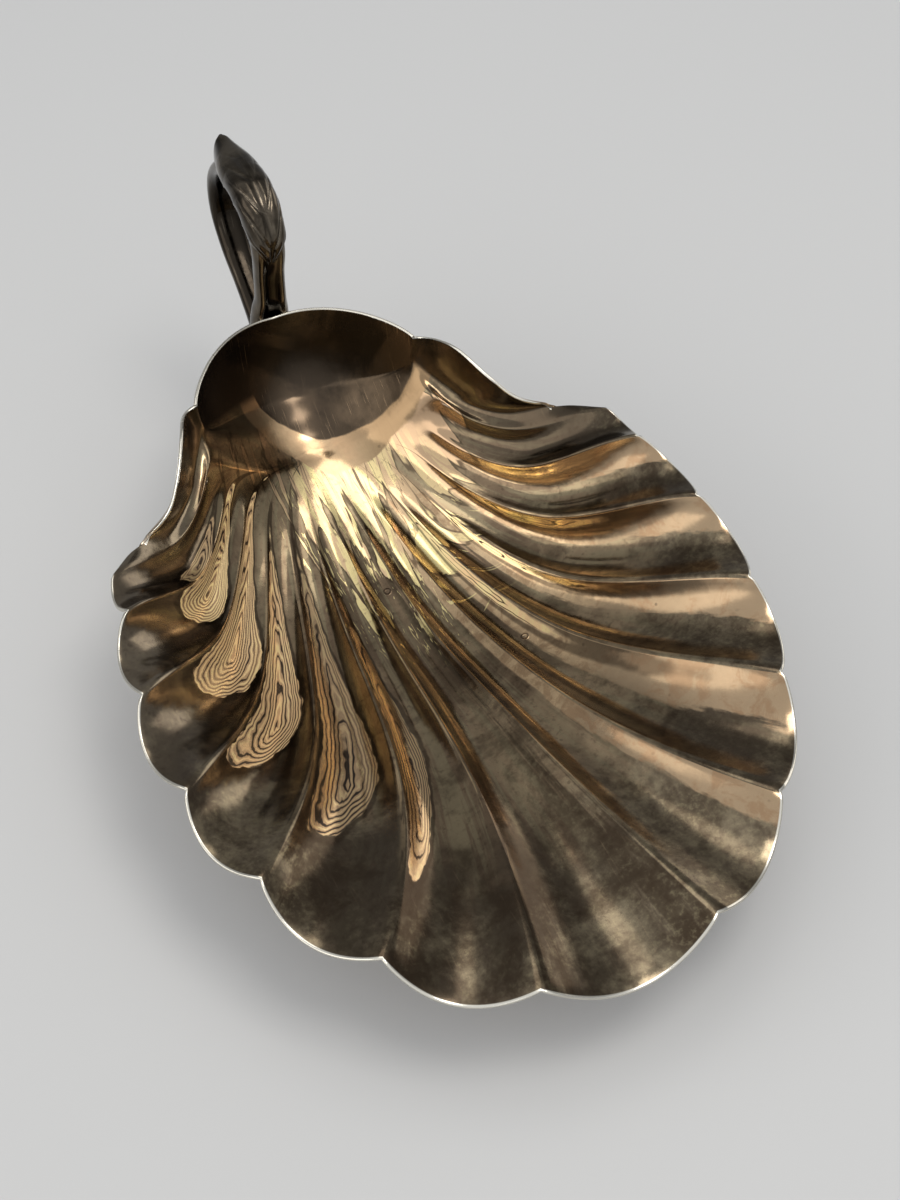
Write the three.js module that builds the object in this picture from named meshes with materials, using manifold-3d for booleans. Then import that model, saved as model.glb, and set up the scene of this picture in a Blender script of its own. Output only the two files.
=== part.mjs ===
// A plated serving dish in the form of a scallop shell: a thin fluted bowl with a lip,
// a smooth hood behind the flutes, a cast loop handle under a leaf, and three ball feet.
// Millimetres. x runs across the dish, +y toward the handle, +z up. Inside this file y is
// measured from the bowl's shoulders and z from the two notches beside the lip.
import * as THREE from "three";
import Module from "manifold-3d";
import { mergeVertices } from "three/addons/utils/BufferGeometryUtils.js";

const wasm = await Module();
wasm.setup();

// Driving dimensions of the bowl
const sheet = 1.2; // thickness of its metal
const notchHalfWidth = 105; // the rim's notches lie on an ellipse this wide either side
const notchHalfLength = 130; // and this long before and behind its centre
const notchCentreY = -125.6;
const notchWidths = [34.4, 25, 21.1, 17.2, 16.7, 14.8, 6.3]; // lobes, degrees: lip lobe first
const rimRise = 26.5; // the shoulders stand this far above the lip's notches
const rimRisePower = 1.5; // above 1 the rim climbs fast at the lip and levels off behind
const lobeBulge = 0.115; // how far a lobe stands out past its notches, share of its width
const lobeRoundness = 0.75; // 1 is a parabola, less is rounder at the notches
const channelDepth = 0.2; // depth of a flute, share of its width
const bulgeSlope = 0.3; // the wall's climb where a lobe stands out
const bulgeOnset = 6; // the higher, the nearer the rim a lobe starts to stand out
const fluteOnset = 0.7; // below 1 a flute is deep soon after its start

// The hood, the smooth part behind the flutes
const archHalfWidth = 43.2;
const archDepth = 32.5; // from the shoulders back to the arch's top
const archFlank = 0.86; // 1 is a parabola, less is fuller beside the shoulders
const archCrown = 2.5; // the arch's flanks stand this far above its ends
const poleY = 2;
const poleZ = -18; // bottom of the hood
const startY = -10; // the flutes start on this line
const startBeyond = 0.8; // the start line is this much wider each side than the arch
const wallBeyond = 2; // and the hood's round floor would go this much further out
const hoodFloor = -20; // the start line's lowest point
const hoodBrim = 27;
const hoodSteepest = 0.96; // the hood's floor ends before its side would stand upright
const sideStart = 73; // degrees up the hood's wall where its even rings start, at the sides
const backStart = 35; // and at the back

// The run of the ridges between the flutes
const lowShare = 0.34; // a ridge's lowest point, share of its length
const deepest = -29.5;
const lowRise = 31; // the last ridge's low point stands this far above the deepest
const lowKnee = 0.45; // ridges nearer the middle than this share all reach the deepest
const lowCurve = 1.2; // above 1 the low points rise late
const wallLine = 0.2; // 1 is a straight climb from the low point to the rim, 0 a soft S
const wallLate = 1.4; // above 1 the wall climbs late, near the rim
const lipSpread = 0.45; // ridges nearer the middle than this share climb early, to a flat lip
const lipEarly = 2.5; // the higher, the earlier
const fanStart = 45; // degrees: how ridges lean outward at their start, by their share
const fanStartOff = 0.32; // and how much of that the outermost give up
const fanFirst = 30; // degrees: ridges meet the rim at their own angle up to this, and then
const fanShare = 0.3; // at this angle and a share of theirs
const leadIn = 0.42; // straight part at each end of a ridge, share of its length
const leadOut = 0.33;
const corner = [96, -57, 19]; // the last ridge's end, where the ear begins

// The ears, between the shoulders and the first lobe each side: their rim's outline,
// measured from the shoulder
const earRim = [
  [0, 0, 0],
  [4, -0.6, -0.7],
  [7.2, -5.5, 1.1],
  [10.8, -15, 2.9],
  [17.8, -28.5, -2.9],
  [25.8, -38, -9.5],
  [36.3, -42.6, -13.1],
  [43.8, -47, -11.5],
];
const earScoop = 3.5; // depth of the ear's hollow

// How finely the sheet is divided
const hoodRings = 4;
const fluteRings = 14;
const lobeColumns = [10, 8, 7, 6, 6, 6, 4];
const earColumns = 9;
const archColumns = 9; // from a shoulder to the arch's top

const seatGap = 0.3; // soldered pieces are drawn this far apart

// The handle's run in the plane x = 0, from its foot behind the rim over the crest and down
// to its root on the hood's back: y, z, width across, thickness
const handleRun = [
  [30, 14, 13, 9],
  [36.8, 20, 15.4, 9.5],
  [36.2, 28.5, 14.2, 9],
  [34.4, 36, 12, 9],
  [34, 47.5, 11.8, 8.4],
  [32.8, 60, 12.6, 8.8],
  [37.5, 71.6, 12, 8.6],
  [47.7, 77.4, 12.6, 8],
  [59.4, 76.7, 12.8, 7.4],
  [70.9, 70.7, 12.6, 7],
  [78.8, 59, 12.2, 6.7],
  [79, 45, 11.8, 6.5],
  [71, 33.2, 11.2, 6.5],
  [59, 23.8, 10.4, 6.5],
  [47.4, 15.2, 10.6, 7],
  [37, 6.9, 12, 9],
  [27.2, -0.3, 14, 12],
];
const handleSquareness = 0.8; // 1 is an oval section, less is squarer
const handleStations = 52;
const handleSides = 18;
const grooveDepth = 2.4; // the channel down the foot's front face
const grooveShare = 0.52; // its width, share of the handle's
const grooveEnd = 0.36; // share of the run where it has faded out
const grooveFade = 0.22; // share of the run that it takes to fade

// The leaf over the handle's front and crest: y and z of its middle line, half its width,
// and how far in from that line its edges reach. Its stalk end makes the thumb rest.
const leafRun = [
  [31.6, 51.5, 0.6, 2.5],
  [28.2, 58, 3.8, 4.2],
  [26.8, 65, 6.6, 7],
  [29.8, 73, 7.4, 8.6],
  [35.5, 79.2, 7.8, 8.8],
  [43.5, 82.6, 7.9, 8.6],
  [52, 83.2, 7.8, 8.4],
  [60, 82.6, 7.4, 8.4],
  [66.5, 82, 6.4, 9],
  [72, 81.8, 4.6, 9.4],
  [75, 82, 2.4, 6],
  [76.8, 82.3, 0.4, 1],
];
const leafStations = 40;
const leafSides = 20;
const leafBaseSides = 4;
const leafBlades = 5; // folds side by side, drawn together at the leaf's point
const foldDepth = 1.3; // depth of the creases between them
const foldEnd = 0.62; // share of the run where the folds have faded out
const leafLobes = 5; // scallops along each edge
const lobeDepth = 0.16; // share of the reach
const leafSquareness = 0.74;
const leafFull = 4; // folds reach their depth where half the leaf's width is this

// The feet: a ball under a neck that spreads to meet the bowl
const feet = [
  ["foot_rear", 0, -46],
  ["foot_left", -41, -118],
  ["foot_right", 41, -118],
];
const floorBelowNotch = 48;
const ballRadius = 6;
const restRadius = 2.2; // the ball's underside is flat this far
const neckRadius = 2.8;
const spreadRadius = 8.5;
const spreadSink = 2.5; // the spread's brim stands this far past the bowl's underside
const footSides = 16;
const ballSteps = 8;
const spreadSteps = 5;

const rings = hoodRings + fluteRings;
const startHalfWidth = archHalfWidth + startBeyond;
const hoodRadius = startHalfWidth + wallBeyond;
const weld = 1e-4; // points nearer than this are one
const rad = THREE.MathUtils.degToRad;
const mix = THREE.MathUtils.lerp;
const pole = new THREE.Vector3(0, poleY, poleZ);

const around = (count) => Array.from({ length: count }, (_, k) => (k / count) * 2 * Math.PI);
const shares = (count, from = 0, to = 1) =>
  Array.from({ length: count + 1 }, (_, k) => mix(from, to, k / count));
const power = (value, exponent) => Math.sign(value) * Math.abs(value) ** exponent;

// Angles of the notches round the rim, from the lip's middle
const notchAngles = [];
notchWidths.reduce((sum, width, i) => {
  notchAngles.push(sum + (i ? width : width / 2));
  return notchAngles[i];
}, 0);
const lastNotch = notchAngles.length - 1;
const notchX = (i) => notchHalfWidth * Math.sin(rad(notchAngles[i]));
const notchY = (i) => notchCentreY - notchHalfLength * Math.cos(rad(notchAngles[i]));

// Height of the rim's notch line
function rimHeight(y) {
  const forward = Math.max(0, -y) / -notchY(0);
  return rimRise * (1 - forward ** rimRisePower);
}

// Points of a column inside the start line, from the pole out
function hoodRun(start, reach) {
  const turn = Math.asin(Math.min(reach, hoodSteepest));
  const points = [];
  for (let j = 0; j < hoodRings; j++) {
    const angle = (turn * j) / hoodRings;
    const out = Math.sin(angle) / Math.sin(turn);
    const climb = (1 - Math.cos(angle)) / (1 - Math.cos(turn));
    points.push(new THREE.Vector3(
      mix(pole.x, start.x, out),
      mix(pole.y, start.y, out),
      mix(pole.z, start.z, climb),
    ));
  }
  return points;
}

// One ridge between two flutes, from the pole to its notch
function ridge(i) {
  const share = (i + 0.5) / (notchAngles.length - 0.5);
  const startX = startHalfWidth * share;
  const startZ = hoodBrim - (hoodBrim - hoodFloor) * Math.sqrt(1 - (startX / hoodRadius) ** 2);
  const start = new THREE.Vector3(startX, startY, startZ);
  const notch = i === lastNotch
    ? new THREE.Vector3(...corner)
    : new THREE.Vector3(notchX(i), notchY(i), rimHeight(notchY(i)));
  const fan = rad(Math.min(notchAngles[i], fanFirst + fanShare * notchAngles[i]));
  const lean = rad(fanStart * share * (1 - fanStartOff * share ** 2));
  const reach = Math.hypot(notch.x - start.x, notch.y - start.y);
  const plan = new THREE.CubicBezierCurve(
    new THREE.Vector2(start.x, start.y),
    new THREE.Vector2(
      start.x + leadIn * reach * Math.sin(lean),
      start.y - leadIn * reach * Math.cos(lean),
    ),
    new THREE.Vector2(
      notch.x - leadOut * reach * Math.sin(fan),
      notch.y + leadOut * reach * Math.cos(fan),
    ),
    new THREE.Vector2(notch.x, notch.y),
  );
  const lowest = deepest + lowRise * (Math.max(0, share - lowKnee) / (1 - lowKnee)) ** lowCurve;
  const lipward = Math.max(0, 1 - share / lipSpread);
  const points = hoodRun(start, startX / hoodRadius);
  for (let j = 0; j <= fluteRings; j++) {
    const along = j / fluteRings;
    const place = plan.getPointAt(along);
    let height;
    if (along < lowShare) {
      height = lowest + (start.z - lowest) * (1 - along / lowShare) ** 2;
    } else {
      const up = (along - lowShare) / (1 - lowShare);
      const soft = up * up * (3 - 2 * up);
      const early = 1 - (1 - up) ** lipEarly;
      const late = mix(soft, up, wallLine) ** wallLate;
      height = mix(lowest, notch.z, mix(late, early, lipward));
    }
    points.push(new THREE.Vector3(place.x, place.y, height));
  }
  return points;
}

// One line of the hood's wall, from the pole to the arch: 0 is the shoulder, 1 the arch's top
function archLine(share) {
  const turn = (share * Math.PI) / 2;
  const brim = new THREE.Vector3(
    archHalfWidth * Math.cos(turn),
    archDepth * Math.sin(turn) ** (2 * archFlank),
    rimRise + archCrown * Math.sin(2 * turn),
  );
  const firstTurn = mix(rad(sideStart), rad(backStart), Math.sin(turn));
  const points = [];
  for (let j = 0; j <= rings; j++) {
    const angle = j < hoodRings
      ? (firstTurn * j) / hoodRings
      : mix(firstTurn, Math.PI / 2, (j - hoodRings) / fluteRings);
    points.push(new THREE.Vector3(
      mix(pole.x, brim.x, Math.sin(angle)),
      mix(pole.y, brim.y, Math.sin(angle)),
      brim.z - (brim.z - pole.z) * Math.cos(angle),
    ));
  }
  return points;
}

// The right half's columns from the lip's middle to the arch's top. Each has its points on
// the smooth sheet and how far each point is pressed down to make the flute.
function halfColumns() {
  const columns = [];
  const ridges = notchAngles.map((angle, i) => ridge(i));
  const mirrored = ridges[0].map((p) => new THREE.Vector3(-p.x, p.y, p.z));
  const pairs = ridges.map((right, i) => [i ? ridges[i - 1] : mirrored, right]);
  pairs.forEach(([near, far], lobe) => {
    const count = lobeColumns[lobe];
    for (let k = lobe ? 0 : count / 2; k < count; k++) {
      const across = k / count;
      const arc = 4 * across * (1 - across);
      const width = near[rings].distanceTo(far[rings]);
      const outward = new THREE.Vector3(
        -(far[rings].y - near[rings].y), far[rings].x - near[rings].x, 0,
      ).normalize().negate();
      const points = near.map((p, j) => {
        const along = Math.max(0, (j - hoodRings) / fluteRings);
        const bulge = lobeBulge * width * arc ** lobeRoundness * along ** bulgeOnset;
        const point = p.clone().lerp(far[j], across).addScaledVector(outward, bulge);
        point.z += bulge * bulgeSlope;
        return point;
      });
      const press = near.map((p, j) => {
        const along = Math.max(0, (j - hoodRings) / fluteRings);
        const fade = Math.min(1, along / lowShare) ** fluteOnset;
        return channelDepth * p.distanceTo(far[j]) * arc * fade;
      });
      columns.push({ points, press });
    }
  });

  const earRidge = ridges[ridges.length - 1];
  const shoulder = archLine(0);
  const outline = earRim.map((p) => new THREE.Vector3(...p).add(shoulder[rings]));
  outline.push(earRidge[rings]);
  outline.reverse();
  const edge = new THREE.CatmullRomCurve3(outline, false, "centripetal");
  for (let k = 0; k < earColumns; k++) {
    const across = k / earColumns;
    const straight = earRidge[rings].clone().lerp(shoulder[rings], across);
    const shift = edge.getPointAt(across).sub(straight);
    const points = earRidge.map((p, j) => {
      const along = Math.max(0, (j - hoodRings) / fluteRings);
      return p.clone().lerp(shoulder[j], across).addScaledVector(shift, along ** 2);
    });
    const press = earRidge.map((p, j) => {
      const along = Math.max(0, (j - hoodRings) / fluteRings);
      return earScoop * Math.sin(Math.PI * across) * Math.sin(Math.PI * along);
    });
    columns.push({ points, press });
  }
  for (let k = 0; k <= archColumns; k++) {
    const points = archLine(k / archColumns);
    columns.push({ points, press: points.map(() => 0) });
  }
  return columns;
}

// The whole sheet as rows of columns, closed round the rim
function wholeSheet() {
  const half = halfColumns();
  const flip = ({ points, press }) => ({
    points: points.map((p) => new THREE.Vector3(-p.x, p.y, p.z)),
    press,
  });
  const left = half.slice(1, -1).reverse().map(flip);
  return [...half, ...left];
}

// Unit normals of a closed grid, pointing up out of the bowl
function gridNormals(columns) {
  const count = columns.length;
  return columns.map((column, i) => column.map((p, j) => {
    if (j === 0) return new THREE.Vector3(0, 0, 1);
    const round = columns[(i + 1) % count][j].clone().sub(columns[(i + count - 1) % count][j]);
    const out = column[Math.min(j + 1, rings)].clone().sub(column[j - 1]);
    return out.cross(round).normalize();
  }));
}

function insideGrid() {
  const sheetColumns = wholeSheet();
  const smooth = sheetColumns.map(({ points }) => points);
  const normals = gridNormals(smooth);
  return smooth.map((points, i) => points.map((p, j) =>
    p.clone().addScaledVector(normals[i][j], -sheetColumns[i].press[j])));
}

const inside = insideGrid();
const insideNormals = gridNormals(inside);

// The bowl's sheet between two offsets from its inside face, as one closed mesh
function sheetGeometry(above, below, overhang) {
  const count = inside.length;
  const positions = [];
  const index = [];
  const ring = (offset) => {
    const first = positions.length / 3;
    positions.push(pole.x, pole.y, pole.z + offset);
    for (let j = 1; j <= rings; j++) {
      inside.forEach((column, i) => {
        const p = column[j].clone().addScaledVector(insideNormals[i][j], offset);
        if (j === rings && overhang) {
          const out = column[j].clone().sub(column[j - 1]).normalize();
          p.addScaledVector(out, overhang);
        }
        positions.push(p.x, p.y, p.z);
      });
    }
    return first;
  };
  const upper = ring(above);
  const lower = ring(-below);
  const at = (face, i, j) => (j ? face + 1 + (j - 1) * count + (i % count) : face);
  const quad = (a, b, c, d) => index.push(a, b, c, a, c, d);
  for (let i = 0; i < count; i++) {
    index.push(upper, at(upper, i, 1), at(upper, i + 1, 1));
    index.push(lower, at(lower, i + 1, 1), at(lower, i, 1));
    for (let j = 1; j < rings; j++) {
      quad(at(upper, i, j), at(upper, i, j + 1), at(upper, i + 1, j + 1), at(upper, i + 1, j));
      quad(at(lower, i, j), at(lower, i + 1, j), at(lower, i + 1, j + 1), at(lower, i, j + 1));
    }
    quad(at(upper, i, rings), at(lower, i, rings), at(lower, i + 1, rings), at(upper, i + 1, rings));
  }
  const geometry = new THREE.BufferGeometry();
  geometry.setAttribute("position", new THREE.Float32BufferAttribute(positions, 3));
  geometry.setIndex(index);
  return geometry;
}

// A closed body through sections that all have the same number of points
function loft(sections) {
  const count = sections[0].length;
  const positions = [];
  const index = [];
  sections.forEach((section) => section.forEach((p) => positions.push(p.x, p.y, p.z)));
  for (let s = 0; s + 1 < sections.length; s++) {
    for (let k = 0; k < count; k++) {
      const a = s * count + k;
      const b = s * count + ((k + 1) % count);
      index.push(a, b + count, b, a, a + count, b + count);
    }
  }
  const cap = (s, flip) => {
    const middle = sections[s].reduce((sum, p) => sum.add(p), new THREE.Vector3());
    middle.divideScalar(count);
    const centre = positions.length / 3;
    positions.push(middle.x, middle.y, middle.z);
    for (let k = 0; k < count; k++) {
      const a = s * count + k;
      const b = s * count + ((k + 1) % count);
      index.push(centre, flip ? a : b, flip ? b : a);
    }
  };
  cap(0, true);
  cap(sections.length - 1, false);
  const geometry = new THREE.BufferGeometry();
  geometry.setAttribute("position", new THREE.Float32BufferAttribute(positions, 3));
  geometry.setIndex(index);
  return geometry;
}

function solid(geometry) {
  geometry.deleteAttribute("normal");
  geometry.deleteAttribute("uv");
  const merged = mergeVertices(geometry, weld);
  return new wasm.Manifold(new wasm.Mesh({
    numProp: 3,
    vertProperties: merged.attributes.position.array,
    triVerts: new Uint32Array(merged.index.array),
  }));
}

function geometryOf(body) {
  const made = body.getMesh();
  const geometry = new THREE.BufferGeometry();
  geometry.setAttribute("position", new THREE.BufferAttribute(made.vertProperties, 3));
  geometry.setIndex(new THREE.BufferAttribute(made.triVerts, 1));
  return geometry;
}

const largest = (bodies) => bodies.reduce((a, b) => (b.volume() > a.volume() ? b : a));
const lowestBody = (bodies) =>
  bodies.reduce((a, b) => (b.boundingBox().min[2] < a.boundingBox().min[2] ? b : a));

const bowlPlace = solid(sheetGeometry(seatGap, sheet + seatGap, seatGap));

// A smooth run through rows of numbers: the first two are y and z in the plane x = 0
function runThrough(rows) {
  const path = new THREE.CatmullRomCurve3(
    rows.map(([y, z]) => new THREE.Vector3(0, y, z)), false, "centripetal");
  const size = new THREE.CatmullRomCurve3(
    rows.map((row, i) => new THREE.Vector3(row[2], row[3], i)), false, "catmullrom");
  return (share) => {
    const ahead = path.getTangent(share);
    const sizes = size.getPoint(share);
    return {
      centre: path.getPoint(share),
      outward: new THREE.Vector3(0, -ahead.z, ahead.y),
      sizes: [sizes.x, sizes.y],
    };
  };
}

const handleAt = runThrough(handleRun);

// The handle's bar, its skin moved out by a lift
function handleBar(lift) {
  const sections = shares(handleStations).map((share) => {
    const { centre, outward, sizes } = handleAt(share);
    const fade = Math.min(1, Math.max(0, (grooveEnd - share) / grooveFade));
    return around(handleSides).map((turn) => {
      const across = power(Math.cos(turn), handleSquareness);
      const out = power(Math.sin(turn), handleSquareness);
      const groove = out > 0 ? grooveDepth * fade * Math.exp(-((across / grooveShare) ** 4)) : 0;
      const point = centre.clone().addScaledVector(outward, (sizes[1] / 2 + lift) * out - groove);
      point.x += (sizes[0] / 2 + lift) * across;
      return point;
    });
  });
  return loft(sections);
}

function handleLoop() {
  return geometryOf(largest(solid(handleBar(0)).subtract(bowlPlace).decompose()));
}

const leafAt = runThrough(leafRun);

// The leaf: a folded skin whose inside is cut to the handle's bar
function handleLeaf() {
  const sections = shares(leafStations).map((share) => {
    const { centre, outward, sizes } = leafAt(share);
    const [half, deep] = sizes;
    const fade = Math.max(0, 1 - share / foldEnd);
    const edge = Math.min(1, share / foldEnd);
    const lobe = 1 - lobeDepth * Math.sqrt(Math.abs(Math.sin(Math.PI * leafLobes * edge)));
    const low = centre.clone().addScaledVector(outward, -deep * lobe);
    const skin = shares(leafSides, -1, 1).map((q) => {
      const turn = (q * Math.PI) / 2;
      const blade = ((q + 1) / 2) * leafBlades;
      const crease = Math.abs(2 * (blade - Math.floor(blade)) - 1) ** 3;
      const press = foldDepth * crease * fade * Math.min(1, half / leafFull) * Math.sqrt(Math.cos(turn));
      const point = centre.clone().addScaledVector(
        outward, -deep * lobe * (1 - Math.cos(turn) ** leafSquareness) - press);
      point.x += half * power(Math.sin(turn), leafSquareness);
      return point;
    });
    skin.reverse();
    const chord = shares(leafBaseSides, -1, 1).slice(1, -1).map((side) =>
      low.clone().add(new THREE.Vector3(half * side, 0, 0)));
    return [...skin, ...chord];
  });
  const cut = solid(loft(sections)).subtract(solid(handleBar(seatGap)));
  return geometryOf(largest(cut.decompose()));
}

// Height of the bowl's underside over a point of its plan, from the nearest grid point
function undersideAt(x, y) {
  const near = inside.flat().reduce((best, p) =>
    (Math.hypot(p.x - x, p.y - y) < Math.hypot(best.x - x, best.y - y) ? p : best));
  return near.z - sheet;
}

function foot(x, y) {
  const floor = -floorBelowNotch;
  const centre = floor + Math.sqrt(ballRadius ** 2 - restRadius ** 2);
  const first = -Math.acos(restRadius / ballRadius);
  const last = Math.acos(neckRadius / ballRadius);
  const ball = shares(ballSteps, first, last).map((turn) =>
    [ballRadius * Math.cos(turn), centre + ballRadius * Math.sin(turn)]);
  const neckTop = ball[ball.length - 1][1];
  const brim = undersideAt(x, y) + spreadSink;
  const spread = shares(spreadSteps).slice(1).map((up) =>
    [mix(neckRadius, spreadRadius, up ** 2), mix(neckTop, brim, up)]);
  const top = brim + spreadRadius;
  const profile = [[0, floor], ...ball, ...spread, [spreadRadius, top], [0, top]];
  const lathe = new THREE.LatheGeometry(
    profile.map(([r, z]) => new THREE.Vector2(r, z)), footSides);
  lathe.rotateX(Math.PI / 2);
  lathe.translate(x, y, 0);
  return geometryOf(lowestBody(solid(lathe).subtract(bowlPlace).decompose()));
}

const plate = 0x6e6254; // tarnished silver plate, as it looks by day
const castPlate = 0x4c4742;
const leafPlate = 0x56504a;
const metal = (colour, roughness) =>
  new THREE.MeshStandardMaterial({ color: colour, metalness: 1, roughness });
const mesh = (name, geometry, material) => {
  const made = new THREE.Mesh(geometry, material);
  made.name = name;
  return made;
};

const dish = new THREE.Group();
dish.add(mesh("shell_bowl", sheetGeometry(0, sheet, 0), metal(plate, 0.3)));
dish.add(mesh("handle_loop", handleLoop(), metal(castPlate, 0.3)));
dish.add(mesh("handle_leaf", handleLeaf(), metal(leafPlate, 0.3)));
feet.forEach(([name, x, y]) => dish.add(mesh(name, foot(x, y), metal(plate, 0.35))));

// The origin is on the floor, under the middle of the dish's length
const extent = new THREE.Box3().setFromObject(dish);
dish.position.set(0, -(extent.min.y + extent.max.y) / 2, floorBelowNotch);

export default dish;
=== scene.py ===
import math
from types import SimpleNamespace

import bmesh
import bpy
import numpy as np
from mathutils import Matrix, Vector


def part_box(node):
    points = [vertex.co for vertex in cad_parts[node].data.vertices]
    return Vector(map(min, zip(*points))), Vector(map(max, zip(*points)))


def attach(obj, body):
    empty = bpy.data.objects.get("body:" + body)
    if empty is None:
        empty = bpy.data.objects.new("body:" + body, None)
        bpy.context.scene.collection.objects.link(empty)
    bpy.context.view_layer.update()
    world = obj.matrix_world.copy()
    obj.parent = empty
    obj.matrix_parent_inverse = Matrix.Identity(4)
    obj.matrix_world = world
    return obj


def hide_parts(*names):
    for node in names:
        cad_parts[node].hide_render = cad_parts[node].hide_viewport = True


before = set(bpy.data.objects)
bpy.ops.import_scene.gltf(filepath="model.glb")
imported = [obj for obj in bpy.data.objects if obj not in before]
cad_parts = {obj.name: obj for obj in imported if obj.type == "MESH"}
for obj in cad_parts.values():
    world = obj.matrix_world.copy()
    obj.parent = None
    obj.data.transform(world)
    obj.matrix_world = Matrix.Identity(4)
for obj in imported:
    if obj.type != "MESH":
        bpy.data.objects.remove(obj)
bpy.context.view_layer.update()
print("frame loaded")

# The pieces are worked out in millimetres: y from the bowl's shoulders and z from the two
# notches beside the lip, as in the part's source. place() puts them in the frame, and the
# left foot's middle and the floor under it tell how far they move.
placing = {"millimetre": 0.001, "footY": -118, "floorZ": -48}
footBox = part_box("foot_left")
footMiddle = (footBox[0].y + footBox[1].y) / 2 / placing["millimetre"]
shift = (0, footMiddle - placing["footY"], -placing["floorZ"])


def place(points):
    return (np.asarray(points, float) + shift) * placing["millimetre"]


def mix(a, b, share):
    return a + (b - a) * share


def lengths(vectors):
    return np.linalg.norm(vectors, axis=-1, keepdims=True)


def unit(vectors):
    return vectors / np.maximum(lengths(vectors), 1e-12)


def power(value, exponent):
    return np.sign(value) * np.abs(value) ** exponent


def evenly(line, shares):  # points of a line at shares of its length
    steps = np.concatenate([[0], np.cumsum(lengths(np.diff(line, axis=0))[:, 0])])
    return np.stack([np.interp(shares, steps / steps[-1], axis) for axis in line.T], 1)


# Points of a Catmull-Rom curve through rows, at shares of its rows
def smoothRun(rows, shares, centripetal):
    rows = np.asarray(rows, float)
    last = len(rows) - 1
    padded = np.vstack([2 * rows[0] - rows[1], rows, 2 * rows[-1] - rows[-2]])
    spot = np.clip(np.asarray(shares, float) * last, 0, last)
    first = np.minimum(spot.astype(int), last - 1)
    t = (spot - first)[:, None]
    p0, p1, p2, p3 = (padded[first + k] for k in range(4))
    if centripetal:
        d0, d1, d2 = (np.sqrt(lengths(b - a)) for a, b in ((p0, p1), (p1, p2), (p2, p3)))
        out = ((p1 - p0) / d0 - (p2 - p0) / (d0 + d1) + (p2 - p1) / d1) * d1
        into = ((p2 - p1) / d1 - (p3 - p1) / (d1 + d2) + (p3 - p2) / d2) * d1
    else:
        out, into = (p2 - p0) / 2, (p3 - p1) / 2
    return (p1 + out * t + (3 * (p2 - p1) - 2 * out - into) * t**2
            + (2 * (p1 - p2) + out + into) * t**3)


def putInScene(name, data):
    made = bpy.data.objects.new(name, data)
    bpy.context.scene.collection.objects.link(made)
    return made


def meshFrom(name, points, faces, values=None):
    mesh = bpy.data.meshes.new(name)
    mesh.from_pydata(np.asarray(points).tolist(), [], faces)
    mesh.validate()
    mesh.polygons.foreach_set("use_smooth", [True] * len(mesh.polygons))
    for key, value in (values or {}).items():
        layer = mesh.attributes.new(key, "FLOAT", "POINT")
        layer.data.foreach_set("value", np.asarray(value, np.float32))
    mesh.update()
    return putInScene(name, mesh)


# Faces round rows of points and from one point beyond each end, turned over if flipped
def ringFaces(rows, count, flipped=False):
    ring = np.arange(count)
    after = (ring + 1) % count
    last = (rows - 1) * count
    faces = []
    for a in range(0, last, count):
        b = a + count
        faces += np.stack([a + ring, b + ring, b + after, a + after], 1).tolist()
    end = last + count + 0 * ring
    for cap in ([end, ring, after], [end + 1, last + after, last + ring]):
        faces += np.stack(cap, 1).tolist()
    return [[face[0], *face[:0:-1]] for face in faces] if flipped else faces


# The bowl: a pressed sheet with flutes, a hood behind them and two ears
shell = {
    "sheet": 1.2,
    "cutLayer": (-0.45, 0.75),
    "notchHalfWidth": 105,
    "notchHalfLength": 130,
    "notchCentreY": -125.6,
    "notchWidths": [34.4, 25, 21.1, 17.2, 16.7, 14.8, 6.3],
    "rimRise": 26.5,
    "rimRisePower": 1.5,
    "lobeBulge": 0.115,
    "lobeRoundness": 0.75,
    "channelDepth": 0.2,
    "bulgeSlope": 0.3,
    "bulgeOnset": 6,
    "fluteOnset": 0.7,
    "archHalfWidth": 43.2,
    "archDepth": 32.5,
    "archFlank": 0.86,
    "archCrown": 2.5,
    "pole": (0, 2, -18),
    "startY": -10,
    "startHalfWidth": 44,
    "hoodRadius": 46,
    "hoodFloor": -20,
    "hoodBrim": 27,
    "hoodSteepest": 0.96,
    "sideStart": 73,
    "backStart": 35,
    "lowShare": 0.34,
    "deepest": -29.5,
    "lowRise": 31,
    "lowKnee": 0.45,
    "lowCurve": 1.2,
    "wallLine": 0.2,
    "wallLate": 1.4,
    "lipSpread": 0.45,
    "lipEarly": 2.5,
    "fanStart": 45,
    "fanStartOff": 0.32,
    "fanFirst": 30,
    "fanShare": 0.3,
    "leadIn": 0.42,
    "leadOut": 0.33,
    "corner": (96, -57, 19),
    "earRim": [(43.2, 0, 26.5), (47.2, -0.6, 25.8), (50.4, -5.5, 27.6), (54, -15, 29.4),
               (61, -28.5, 23.6), (69, -38, 17), (79.5, -42.6, 13.4), (87, -47, 15)],
    "earScoop": 3.5,
    "lineSamples": 400,
    "hoodRings": 16,
    "fluteRings": 56,
    "lobeColumns": [40, 32, 28, 24, 24, 24, 16],
    "earColumns": 36,
    "archColumns": 36,
    "ridgeSoft": 0.1,
    "startSoft": 9,
    "lowSoft": 14,
    "softRounds": 60,
    "turnRings": 24,
    "poleRings": 15,
    "poleReach": 20,
    "turnSoft": 16,
    "edgeRound": 0.6,
    "edgeSteps": 5,
}
hoodRings, fluteRings = shell["hoodRings"], shell["fluteRings"]
rings = hoodRings + fluteRings
pole = np.array(shell["pole"], float)
notchSums = np.cumsum(shell["notchWidths"])
notchAngles = notchSums - shell["notchWidths"][0] / 2
flute = np.clip((np.arange(rings + 1) - hoodRings) / fluteRings, 0, 1)


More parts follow.
